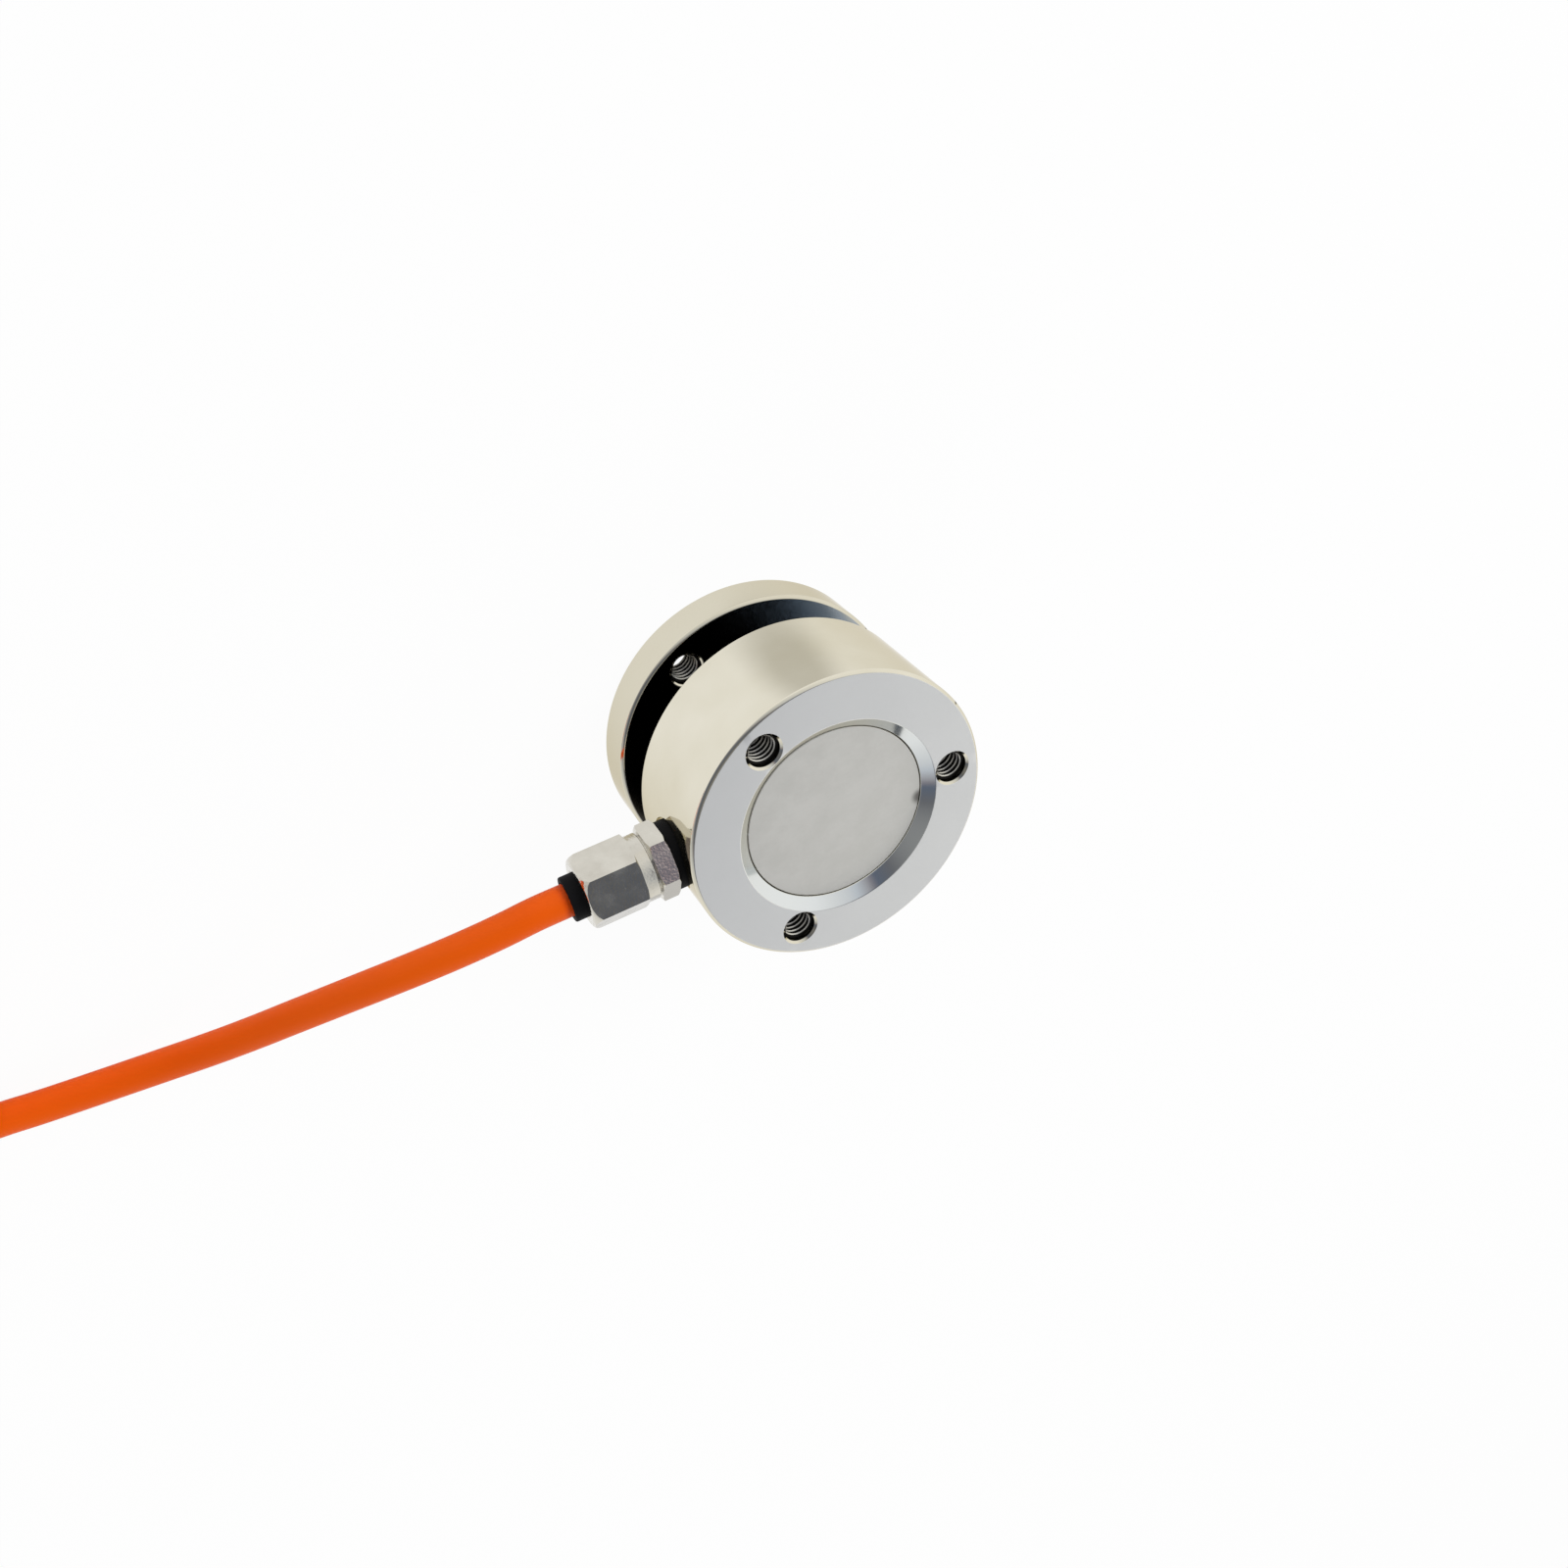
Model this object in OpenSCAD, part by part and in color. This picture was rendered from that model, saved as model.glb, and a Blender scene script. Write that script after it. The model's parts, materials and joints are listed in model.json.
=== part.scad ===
// Flange-type strain gauge load cell with a radial cable gland and its cable, in millimetres.
// The origin is the middle of the thin flange's underside. +Z is the load axis and +X is the gland.

/* [Spool body] */
// Diameter of the cavity that holds the bridge
cavity_d = 21; // [20:0.5:24]
// Width of the ledge round the cavity that carries the cover
ledge_w = 0.9; // [0.7:0.1:1.2]
// Width of the cone from the cover up to the front face
recess_w = 1.5; // [1.2:0.1:2]
// Flat left between that cone and the bolt holes
bolt_land = 0.35; // [0.3:0.05:1]
// Wall between the bolt holes and the outside
rim_w = 1.75; // [1.4:0.05:3]
// Thickness of the thin flange
flange_t = 5.5; // [4:0.5:8]
// Height of the open gap between the flange and the ring
gap_h = 6.2; // [5:0.2:8]
// Height of the thick ring
ring_h = 15; // [14:0.5:18]
// Diameter of the hub that joins the flange to the ring
hub_d = 16; // [14:0.5:20]
// Thickness of the membrane that bends under load
membrane_t = 2.5; // [2:0.1:3]
// Chamfer on the outer edges
edge_chamfer = 0.35; // [0.2:0.05:0.6]

/* [Bolt holes] */
// Number of bolt holes in each face
bolt_count = 3; // [2, 3]
// Outer diameter of the thread in the thick ring
bolt_d = 4; // [3:0.5:4]
// Mean diameter of the thread in the thin flange
base_bolt_d = 3.6; // [3:0.1:3.8]
// Depth of the holes in the thick ring
bolt_depth = 10; // [6:0.5:11]
// Width of the countersink round each hole
bolt_chamfer = 0.3; // [0.1:0.05:0.5]
// Angle of the first hole, counted from the gland
bolt_angle = 60; // [45:1:75]

/* [Cover] */
// Thickness of the cover disc
cover_t = 1.2; // [0.8:0.1:1.6]
// Depth of the cover below the front face
cover_drop = 1.2; // [0.8:0.1:1.6]
// Gap round the edge of the cover
cover_clear = 0.1; // [0.05:0.05:0.15]
// Thickness of the adhesive under the cover and under the board
glue_t = 0.15; // [0.1:0.05:0.3]

/* [Bridge] */
// Diameter of the boss in the middle of the membrane
boss_d = 7; // [6:0.5:8]
// Height of the boss
boss_h = 2; // [1.5:0.1:2.2]
// Diameter of the bridge board
board_d = 12.6; // [12.2:0.2:13]
// Thickness of the bridge board
board_t = 0.8; // [0.6:0.1:1]
// Radius from the middle to each gauge
gauge_r = 7; // [6.8:0.1:7.2]
// Length of a gauge across the radius
gauge_l = 3.6; // [3:0.1:4]
// Width of a gauge along the radius
gauge_w = 3; // [2.6:0.1:3.2]
// Thickness of a gauge
gauge_t = 0.1; // [0.05:0.05:0.2]
// Height of a solder joint
solder_h = 0.25; // [0.15:0.05:0.4]
// Diameter of a solder joint on the board
solder_d = 1; // [0.8:0.1:1.1]
// Diameter of a bridge wire
wire_d = 0.3; // [0.2:0.05:0.4]
// Length of a chip resistor
chip_l = 1.6; // [1:0.1:1.8]
// Width of a chip resistor
chip_w = 0.8; // [0.5:0.1:1]
// Height of a chip resistor
chip_h = 0.5; // [0.3:0.05:0.7]

/* [Gland] */
// Distance from the front face down to the gland's axis
gland_drop = 6.65; // [6.2:0.05:7]
// Diameter of the threaded port in the ring
port_d = 6; // [5.5:0.1:6.4]
// Running clearance of the threads
thread_clear = 0.05; // [0.02:0.01:0.1]
// Diameter of the flat seat milled round the port
seat_d = 9; // [8.8:0.1:9.4]
// Depth of that seat below the side of the ring
seat_cut = 0.6; // [0.55:0.05:0.8]
// Diameter of the rubber gasket
gasket_d = 8.4; // [8:0.1:8.7]
// Thickness of the rubber gasket
gasket_t = 1.4; // [1:0.1:1.8]
// Width across the flats of both hexagons
hex_af = 8.3; // [8:0.1:8.8]
// Thickness of the hexagon on the gland body
base_hex_t = 2.2; // [1.8:0.1:3]
// Gap left between that hexagon and the nut
nut_gap = 0.25; // [0.1:0.05:0.5]
// Length of the round collar on the nut
nut_collar_l = 1.5; // [1:0.1:2]
// Diameter of that collar
nut_collar_d = 8.2; // [7.9:0.1:8.3]
// Length of the hexagon on the nut
nut_hex_l = 6.9; // [6:0.1:9]
// Thickness of the nut's end wall
nut_wall_t = 1.8; // [1.2:0.1:2.4]
// Chamfer on the corners of both hexagons
hex_chamfer = 0.45; // [0.2:0.05:0.6]
// Diameter of the outer thread that the nut runs on
gland_thread_d = 7; // [6.8:0.1:7.1]
// Diameter of the rubber seal
seal_d = 5.5; // [5.3:0.1:5.7]
// Length of the seal that shows outside the nut
seal_out = 1.55; // [1:0.05:2]
// Thickness of the seal's collar inside the nut
seal_collar_t = 0.5; // [0.3:0.1:0.8]
// Length of the seal inside the gland body
seal_in = 4; // [3:0.5:4.5]

/* [Cable] */
// Diameter of the cable
cable_d = 4; // [3.8:0.1:4.2]
// Clearance of the cable in the gland
cable_clear = 0.1; // [0.05:0.05:0.2]
// Length of the cable that stands inside the cavity
cable_inside = 1.5; // [1:0.1:2]
// Diameter of an insulated core
core_d = 1; // [0.8:0.1:1.1]
// Distance of each core from the middle of the cable, across and up
core_offset = 0.6; // [0.56:0.01:0.7]
// Radius of the coil at the middle of its turns
coil_r = 23; // [22:1:24]
// Width and height of the coil's section
coil_section = 16; // [12:4:16]
// Distance from the load axis to the middle of the coil, along the gland
coil_x = 128; // [125:1:160]
// Distance from the gland's axis to the middle of the coil
coil_side = 16; // [14:1:18]
// Thickness of the two ties round the coil
tie_t = 0.5; // [0.3:0.1:0.5]
// Angle that each tie takes up along the coil
tie_angle = 9; // [6:1:14]
// Diameter of the heat-shrink sleeve on the far end
sleeve_d = 4.8; // [4.4:0.1:5]
// Length of that sleeve
sleeve_l = 14; // [10:1:20]
// Diameter of the free leads at the far end
lead_d = 1.1; // [1:0.1:1.1]
// Diameter of the bare tinned tips
tip_d = 0.6; // [0.5:0.1:0.8]
// Length of the bare tips
tip_l = 4; // [3:1:6]

/* [Hidden] */
$fn = 96;
eps = 0.01;
cover_d = cavity_d + 2 * ledge_w;
recess_d = cover_d + 2 * recess_w;
bolt_circle_d = recess_d + bolt_d + 2 * bolt_land;
body_d = bolt_circle_d + bolt_d + 2 * rim_w;
body_r = body_d / 2;
ring_z = flange_t + gap_h;
top_z = ring_z + ring_h;
floor_z = ring_z + membrane_t;
cover_top_z = top_z - cover_drop;
ledge_z = cover_top_z - cover_t - glue_t;
pocket_d = cover_d + 2 * cover_clear;
port_z = top_z - gland_drop;

// Stations of the gland along +X
seat_x = body_r - seat_cut;
base_x = seat_x + gasket_t;
base_end_x = base_x + base_hex_t;
nut_x = base_end_x + nut_gap;
nut_hex_x = nut_x + nut_collar_l;
nut_end_x = nut_hex_x + nut_hex_l;
seal_end_x = nut_end_x + seal_out;
shoulder_x = nut_end_x - nut_wall_t;
thread_end_x = shoulder_x - seal_collar_t;
shank_inset = 1;
shank_x = cavity_d / 2 + shank_inset;
seal_x = thread_end_x - seal_in;
cable_x = cavity_d / 2 - cable_inside;
seal_clear = cable_clear / 2;
base_hex_turn = 0;
nut_hex_turn = 48;
nut_dome = 2;
hex_r = hex_af / sqrt(3);

// Stack of the bridge on the membrane
gauge_top_z = floor_z + gauge_t;
board_z = floor_z + boss_h + glue_t;
board_top_z = board_z + board_t;
joint_z = board_top_z + solder_h;
gauge_angle = 45;
tab_inset = 0.5;
tab_r = gauge_r + gauge_w / 2 - tab_inset;
tab_side = 0.8;
tab_d = 0.6;
pad_inset = 0.9;
pad_r = board_d / 2 - pad_inset;
arch_r = (tab_r - pad_r) / 2;
core_pad_x = [2.4, 4.6];
chip_places = [[-3.8, -1.3], [-3.8, 1.3], [-1.4, -1.3], [-1.4, 1.3]];
chip_end_l = 0.3;
chip_end_step = 0.1;

// Route of the cable from the gland to its coil, in shares of the way along, across and up
run_shape = [
  [0, 0, 1], [0.0505, 0, 1], [0.1036, 0.0586, 0.974], [0.17, 0.1465, 0.917], [0.2364, 0.2539, 0.832],
  [0.3028, 0.3809, 0.724], [0.3692, 0.5371, 0.593], [0.4356, 0.7031, 0.456], [0.502, 0.8691, 0.319],
  [0.5684, 0.9961, 0.199], [0.6348, 1.084, 0.097], [0.7012, 1.123, 0.028], [0.7676, 1.1133, -0.006],
  [0.834, 1.0742, -0.023], [0.8871, 1.0156, -0.023], [0.9402, 0.9912, -0.017], [1, 1, 0]
];
// Route of the free end on top of the coil: angle, distance in from the coil's edge, share of the rise
tail_shape = [
  [35, 2.4, 0], [28.7, 2.5, 0], [22.4, 2.81, 0], [16, 3.31, 0], [9.6, 4.01, 0],
  [3.1, 4.89, 0], [-3.5, 5.96, 0], [-10.3, 7.19, 0], [-20.8, 9.33, 0.6], [-25.7, 10.23, 1],
  [-30.9, 10.97, 1]
];
coil_z = tie_t;
coil_corner = cable_d / 2;
coil_out_r = coil_r + coil_section / 2;
coil_top_z = coil_z + coil_section;
coil_centre = [coil_x, -coil_side];
rest_z = coil_z + cable_d / 2;
tie_places = [140, 215];
cord_gap = 0.3;
rest_gap = 0.02;
sleeve_gap = 0.1;
run_end_angle = 128;
run_end_r = coil_out_r + cable_d / 2 + cord_gap;
run_end = coil_centre + run_end_r * [cos(run_end_angle), sin(run_end_angle)];
run_points = [
  for (p = run_shape) [
    seal_end_x + p.x * (run_end.x - seal_end_x), p.y * run_end.y,
    max(cable_d / 2, rest_z + p.z * (port_z - rest_z))
  ]
];
tail_low = coil_top_z + cable_d / 2 + rest_gap;
tail_high = coil_top_z + sleeve_d / 2 + sleeve_gap;
tail_points = [
  for (p = tail_shape) [
    coil_centre.x + (coil_out_r - p.y) * cos(p.x), coil_centre.y + (coil_out_r - p.y) * sin(p.x),
    tail_low + p.z * (tail_high - tail_low)
  ]
];
tail_step = tail_points[len(tail_points) - 1] - tail_points[len(tail_points) - 2];
sleeve_angle = atan2(tail_step.y, tail_step.x);
sleeve_taper = 0.6;

// Routes of the free leads, counted from the sleeve's far end along its axis and up from the coil
lead_curl = 0.018;
lead_straight = 1.5;
outer_lead = [
  [0, 0.6, 3.1], [1.5, 0.6, 3.1], [4, 1.1, 2.8], [6.5, 1.9, 1.9], [9.5, 2.9, 0.9], [12.5, 3.7, 0.57],
  [15.5, 4.1, 0.57], [18, 4.2, 0.57]
];
inner_lead = [
  [0, 0.6, 1.9], [1.5, 0.6, 1.9], [4, 0.8, 1.5], [6.5, 1.2, 0.85], [9.5, 1.7, 0.57], [13, 1.9, 0.57],
  [16.5, 1.9, 0.57]
];
screen_lead = [[0, 0, 0.85], [1.5, 0, 0.85], [4, 0, 0.62], [8, 0, 0.57], [12, 0, 0.57], [15, 0, 0.57]];

function unit(v) = v / norm(v);
function heading(pts, i) = unit(pts[min(i + 1, len(pts) - 1)] - pts[max(i - 1, 0)]);
function ring_points(pts, i, r, sides) =
  let (t = heading(pts, i), side = unit(cross([0, 0, 1], t)), up = cross(t, side))
  [for (k = [0:sides - 1]) pts[i] + r * (cos(360 * k / sides) * side + sin(360 * k / sides) * up)];

// A round tube swept through a list of points, closed by a flat cap at each end
module tube(pts, d, sides) {
  n = len(pts);
  polyhedron(
    points = [for (i = [0:n - 1]) each ring_points(pts, i, d / 2, sides)],
    faces = concat(
      [[for (k = [0:sides - 1]) k]],
      [[for (k = [sides - 1:-1:0]) (n - 1) * sides + k]],
      [for (i = [0:n - 2], k = [0:sides - 1])
        let (a = i * sides + k, b = i * sides + (k + 1) % sides) [a, a + sides, b + sides, b]]
    ),
    convexity = 8
  );
}

// Stands a shape that was drawn along Z on the gland's axis, from station x outwards
module on_gland(x) {
  translate([x, 0, port_z]) rotate([0, 90, 0]) children();
}

module bolt_places() {
  for (i = [0:bolt_count - 1]) rotate([0, 0, bolt_angle + i * 360 / bolt_count])
    translate([bolt_circle_d / 2, 0, 0]) children();
}

// A bolt hole from z = 0 down to -depth with a countersink at its mouth
module bolt_hole(d, depth) {
  chamfer = bolt_chamfer + (bolt_d - d) / 2;
  translate([0, 0, -depth]) cylinder(d = d, h = depth + eps);
  translate([0, 0, -chamfer]) cylinder(r1 = d / 2, r2 = d / 2 + chamfer + eps, h = chamfer + eps);
}

// Half of the spool's section, turned about the load axis
module spool_profile() {
  c = edge_chamfer;
  polygon([
    [0, 0], [body_r - c, 0], [body_r, c], [body_r, flange_t - c], [body_r - c, flange_t],
    [hub_d / 2, flange_t], [hub_d / 2, ring_z], [body_r - c, ring_z], [body_r, ring_z + c],
    [body_r, top_z - c], [body_r - c, top_z], [recess_d / 2, top_z], [pocket_d / 2, cover_top_z],
    [pocket_d / 2, ledge_z], [cavity_d / 2, ledge_z], [cavity_d / 2, floor_z],
    [boss_d / 2, floor_z], [boss_d / 2, floor_z + boss_h], [0, floor_z + boss_h]
  ]);
}

// The elastic element: flange, hub, membrane and ring turned from one piece
module sensing_element() {
  color("silver") difference() {
    rotate_extrude() spool_profile();
    translate([0, 0, top_z]) bolt_places() bolt_hole(bolt_d, bolt_depth);
    translate([0, 0, flange_t]) bolt_places() bolt_hole(base_bolt_d, flange_t + eps);
    mirror([0, 0, 1]) bolt_places() bolt_hole(base_bolt_d, flange_t / 2);
    on_gland(0) cylinder(d = port_d, h = body_r + 1);
    on_gland(seat_x) cylinder(d = seat_d, h = seat_cut + 1);
  }
}

module cover_plate() {
  color("lightgray") translate([0, 0, cover_top_z - cover_t]) cylinder(d = cover_d, h = cover_t);
}

module cover_adhesive() {
  color("dimgray") translate([0, 0, ledge_z]) difference() {
    cylinder(d = cover_d, h = glue_t);
    translate([0, 0, -eps]) cylinder(d = cavity_d, h = glue_t + 2 * eps);
  }
}

// A foil gauge bonded to the membrane, with a solder bump on each of its two tabs
module strain_gauge(i) {
  color("orange") rotate([0, 0, gauge_angle + 90 * i]) {
    translate([gauge_r, 0, floor_z + gauge_t / 2]) cube([gauge_w, gauge_l, gauge_t], center = true);
    for (s = [-1, 1]) translate([tab_r, s * tab_side, gauge_top_z])
      cylinder(d = tab_d, h = solder_h, $fn = 24);
  }
}

// The two wires that arch from a gauge's tabs over the edge of the board
module gauge_leads(i) {
  leg_z = gauge_top_z + solder_h;
  color("firebrick") rotate([0, 0, gauge_angle + 90 * i]) for (s = [-1, 1]) translate([0, s * tab_side, 0]) {
    translate([tab_r, 0, leg_z]) cylinder(d = wire_d, h = joint_z - leg_z, $fn = 24);
    translate([(tab_r + pad_r) / 2, 0, joint_z]) rotate([90, 0, 0])
      rotate_extrude(angle = 180) translate([arch_r, 0]) circle(d = wire_d, $fn = 24);
  }
}

module bridge_board() {
  color("darkgreen") translate([0, 0, board_z]) cylinder(d = board_d, h = board_t);
}

module board_adhesive() {
  color("khaki") translate([0, 0, floor_z + boss_h]) cylinder(d = boss_d - 2 * glue_t, h = glue_t);
}

// One joint on the board for each bridge wire and each core of the cable
module solder_joints() {
  color("silver") translate([0, 0, board_top_z]) {
    for (i = [0:3], s = [-1, 1]) rotate([0, 0, gauge_angle + 90 * i]) translate([pad_r, s * tab_side, 0])
      cylinder(d = tab_d, h = solder_h, $fn = 24);
    for (x = core_pad_x, s = [-1, 1]) translate([x, s * core_offset, 0])
      cylinder(d = solder_d, h = solder_h, $fn = 24);
  }
}

// A ceramic chip with a metal cap at each end
module chip_resistor(i) {
  color("black") translate([chip_places[i].x, chip_places[i].y, board_top_z + chip_h / 2]) {
    cube([chip_l - 2 * chip_end_l, chip_w, chip_h - chip_end_step], center = true);
    for (s = [-1, 1]) translate([s * (chip_l - chip_end_l) / 2, 0, 0])
      cube([chip_end_l, chip_w, chip_h], center = true);
  }
}

// An insulated core from the cable's end, bent down onto its joint on the board
module core(upper, side, tint) {
  z = port_z + (upper ? core_offset : -core_offset);
  pad_x = core_pad_x[upper ? 0 : 1];
  bend = z - joint_z;
  color(tint) translate([0, side * core_offset, 0]) {
    translate([pad_x + bend, 0, z]) rotate([0, 90, 0])
      cylinder(d = core_d, h = cable_x - pad_x - bend, $fn = 32);
    translate([pad_x + bend, 0, joint_z]) rotate([90, 0, 0]) rotate([0, 0, 90])
      rotate_extrude(angle = 90) translate([bend, 0]) circle(d = core_d, $fn = 32);
  }
}

module gland_gasket() {
  color("black") on_gland(seat_x) difference() {
    cylinder(d = gasket_d, h = gasket_t);
    translate([0, 0, -eps]) cylinder(d = port_d, h = gasket_t + 2 * eps);
  }
}

// A hexagonal prism along Z with both ends turned to a chamfer
module chamfered_hex(len, turn, low, high) {
  r = hex_r;
  c = hex_chamfer;
  intersection() {
    rotate([0, 0, turn]) cylinder(r = r, h = len, $fn = 6);
    rotate([0, 0, turn + 15]) rotate_extrude() polygon([
      [0, 0], [r - low * c, 0], [r + c, (low + 1) * c / 2], [r + c, len - (high + 1) * c / 2],
      [r - high * c, len], [0, len]
    ]);
  }
}

// Threaded shank, hexagon and outer thread, bored for the cable and for the seal
module gland_body() {
  color("gainsboro") difference() {
    union() {
      on_gland(shank_x) cylinder(d = port_d - 2 * thread_clear, h = base_x - shank_x + eps);
      on_gland(base_x) chamfered_hex(base_hex_t, base_hex_turn, 1, 1);
      on_gland(base_end_x - eps) cylinder(d = gland_thread_d, h = thread_end_x - base_end_x + eps);
    }
    on_gland(shank_x - eps) cylinder(d = cable_d + 2 * cable_clear, h = thread_end_x - shank_x + 2 * eps);
    on_gland(seal_x) cylinder(d = seal_d + 2 * seal_clear, h = seal_in + eps);
  }
}

// Round collar and hexagon, bored to run on the gland body and to let the seal through
module gland_nut() {
  color("gainsboro") difference() {
    union() {
      on_gland(nut_x) cylinder(d = nut_collar_d, h = nut_collar_l + eps);
      on_gland(nut_hex_x) chamfered_hex(nut_hex_l, nut_hex_turn, 1, nut_dome);
    }
    on_gland(nut_x - eps) cylinder(d = gland_thread_d + 2 * thread_clear, h = shoulder_x - nut_x + eps);
    on_gland(shoulder_x - eps) cylinder(d = seal_d + 2 * seal_clear, h = nut_wall_t + 2 * eps);
  }
}

// Rubber sleeve round the cable, held by its collar between the gland body and the nut
module gland_seal() {
  color("black") difference() {
    union() {
      on_gland(seal_x) cylinder(d = seal_d, h = seal_end_x - seal_x);
      on_gland(thread_end_x) cylinder(d = gland_thread_d - 2 * thread_clear, h = seal_collar_t);
    }
    on_gland(seal_x - eps) cylinder(d = cable_d + 2 * seal_clear, h = seal_end_x - seal_x + 2 * eps);
  }
}

// The straight part of the cable inside the gland
module cable_entry() {
  color("orangered") on_gland(cable_x) cylinder(d = cable_d, h = seal_end_x - cable_x);
}

module cable_run() {
  color("orangered") tube(run_points, cable_d, 10);
}

module cable_tail() {
  color("orangered") tube(tail_points, cable_d, 10);
}

// A square with round corners, from radius r_in to r_out and from z_low to z_high
module section(r_in, r_out, z_low, z_high, corner) {
  translate([r_in + corner, z_low]) square([r_out - r_in - 2 * corner, z_high - z_low]);
  translate([r_in, z_low + corner]) square([r_out - r_in, z_high - z_low - 2 * corner]);
  for (r = [r_in + corner, r_out - corner], z = [z_low + corner, z_high - corner])
    translate([r, z]) circle(r = corner, $fn = 32);
}

module coil_section_at(grow) {
  half = coil_section / 2 + grow;
  section(coil_r - half, coil_r + half, coil_z - grow, coil_z + coil_section + grow, coil_corner + grow);
}

module cable_coil() {
  color("orangered") translate([coil_centre.x, coil_centre.y, 0]) rotate_extrude() coil_section_at(0);
}

module coil_tie(i) {
  color("black") translate([coil_centre.x, coil_centre.y, 0]) rotate([0, 0, tie_places[i] - tie_angle / 2])
    rotate_extrude(angle = tie_angle) difference() {
      coil_section_at(tie_t);
      coil_section_at(0);
    }
}

// Places what follows on the far end of the cable, along the cable's own direction
module on_tail(x) {
  last = tail_points[len(tail_points) - 1];
  translate([last.x, last.y, 0]) rotate([0, 0, sleeve_angle]) translate([x, 0, 0]) children();
}

module end_sleeve() {
  z = tail_points[len(tail_points) - 1].z;
  color("black") on_tail(0) translate([0, 0, z]) rotate([0, 90, 0]) {
    cylinder(d1 = sleeve_d - sleeve_taper, d2 = sleeve_d, h = sleeve_taper);
    translate([0, 0, sleeve_taper]) cylinder(d = sleeve_d, h = sleeve_l - 2 * sleeve_taper);
    translate([0, 0, sleeve_l - sleeve_taper])
      cylinder(d1 = sleeve_d, d2 = sleeve_d - sleeve_taper, h = sleeve_taper);
  }
}

// A lead's route on one side of the sleeve's axis, curled with the coil once it is out of the sleeve
function lead_route(pts, side) =
  [for (p = pts) [p.x, side * p.y - lead_curl * pow(max(p.x - lead_straight, 0), 2), coil_top_z + p.z]];

module free_lead(pts, side, tint) {
  color(tint) on_tail(sleeve_l) tube(lead_route(pts, side), lead_d, 8);
}

module lead_tip(pts, side) {
  route = lead_route(pts, side);
  last = route[len(route) - 1];
  step = last - route[len(route) - 2];
  on_tail(sleeve_l) translate(last) rotate([0, 0, atan2(step.y, step.x)]) rotate([0, 90, 0])
    cylinder(d = tip_d, h = tip_l, $fn = 24);
}

module lead_tips() {
  color("silver") {
    for (s = [-1, 1]) lead_tip(outer_lead, s);
    for (s = [-1, 1]) lead_tip(inner_lead, s);
    lead_tip(screen_lead, 1);
  }
}

sensing_element();
cover_plate();
cover_adhesive();
for (i = [0:3]) strain_gauge(i);
for (i = [0:3]) gauge_leads(i);
bridge_board();
board_adhesive();
solder_joints();
chip_resistor(0);  // zero_trim_resistor
chip_resistor(1);  // span_trim_resistor
chip_resistor(2);  // zero_temperature_resistor
chip_resistor(3);  // span_temperature_resistor
core(true, 1, "red");  // core_red
core(false, 1, "green");  // core_green
core(false, -1, "white");  // core_white
core(true, -1, "black");  // core_black
gland_gasket();
gland_body();
gland_nut();
gland_seal();
cable_entry();
cable_run();
cable_coil();
for (i = [0:1]) coil_tie(i);
cable_tail();
end_sleeve();
free_lead(outer_lead, 1, "red");  // lead_red
free_lead(inner_lead, 1, "green");  // lead_green
free_lead(inner_lead, -1, "white");  // lead_white
free_lead(outer_lead, -1, "black");  // lead_black
free_lead(screen_lead, 1, "gray");  // shield_lead
lead_tips();
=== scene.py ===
# %% [markdown]
# A small flange-type load cell in polished nickel, with a hexagonal cable gland and an orange cable.
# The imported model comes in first. It fixes every size and place, and the pieces below are modelled
# round it. All lengths are in metres, so a size in millimetres is written with the factor MM.

# %% Load the fixed frame
import json
import math

import bpy
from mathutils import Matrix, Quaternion, Vector


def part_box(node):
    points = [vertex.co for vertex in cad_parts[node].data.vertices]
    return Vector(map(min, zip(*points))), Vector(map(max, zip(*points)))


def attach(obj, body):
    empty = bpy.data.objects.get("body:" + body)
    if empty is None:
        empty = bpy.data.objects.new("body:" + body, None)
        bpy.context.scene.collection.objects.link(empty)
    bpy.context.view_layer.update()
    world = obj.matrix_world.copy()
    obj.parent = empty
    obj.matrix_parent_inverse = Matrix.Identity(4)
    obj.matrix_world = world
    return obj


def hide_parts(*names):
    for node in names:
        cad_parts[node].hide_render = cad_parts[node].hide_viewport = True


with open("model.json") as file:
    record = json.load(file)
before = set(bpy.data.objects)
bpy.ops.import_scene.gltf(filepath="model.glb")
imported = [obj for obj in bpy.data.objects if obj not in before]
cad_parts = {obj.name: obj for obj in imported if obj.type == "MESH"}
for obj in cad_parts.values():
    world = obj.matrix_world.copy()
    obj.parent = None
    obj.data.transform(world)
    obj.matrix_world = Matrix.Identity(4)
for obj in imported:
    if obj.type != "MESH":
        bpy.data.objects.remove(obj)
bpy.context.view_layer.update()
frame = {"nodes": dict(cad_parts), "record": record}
MM = 0.001
print("nodes in the frame:", len(frame["nodes"]))

# %% [markdown]
# The photograph looks down on the cell from the gland's side, and it is turned so that the gland
# points down and to the left. A camera that aims at the ring and then rolls about its own axis gives
# that view. The lens is a normal one from close by, which makes the near face look a little larger.

# %% Camera
CAMERA_PLACE = Vector((52.06, -106.94, 151.3)) * MM
CAMERA_TARGET = Vector((3.64, -2.74, 20.0)) * MM
CAMERA_ROLL = math.radians(137.04)
CAMERA_LENS = 33.96
SENSOR_WIDTH = 36.0

bpy.ops.object.camera_add(location=CAMERA_PLACE)
camera = bpy.context.object
camera.name = "photo_camera"
aim = (CAMERA_TARGET - CAMERA_PLACE).to_track_quat("-Z", "Y")
camera.rotation_mode = "QUATERNION"
camera.rotation_quaternion = aim @ Quaternion((0, 0, 1), CAMERA_ROLL)
camera.data.lens = CAMERA_LENS
camera.data.sensor_width = SENSOR_WIDTH
camera.data.clip_start = 0.01
bpy.context.scene.camera = camera
print("camera distance in mm:", round((CAMERA_TARGET - CAMERA_PLACE).length / MM, 1))

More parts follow.
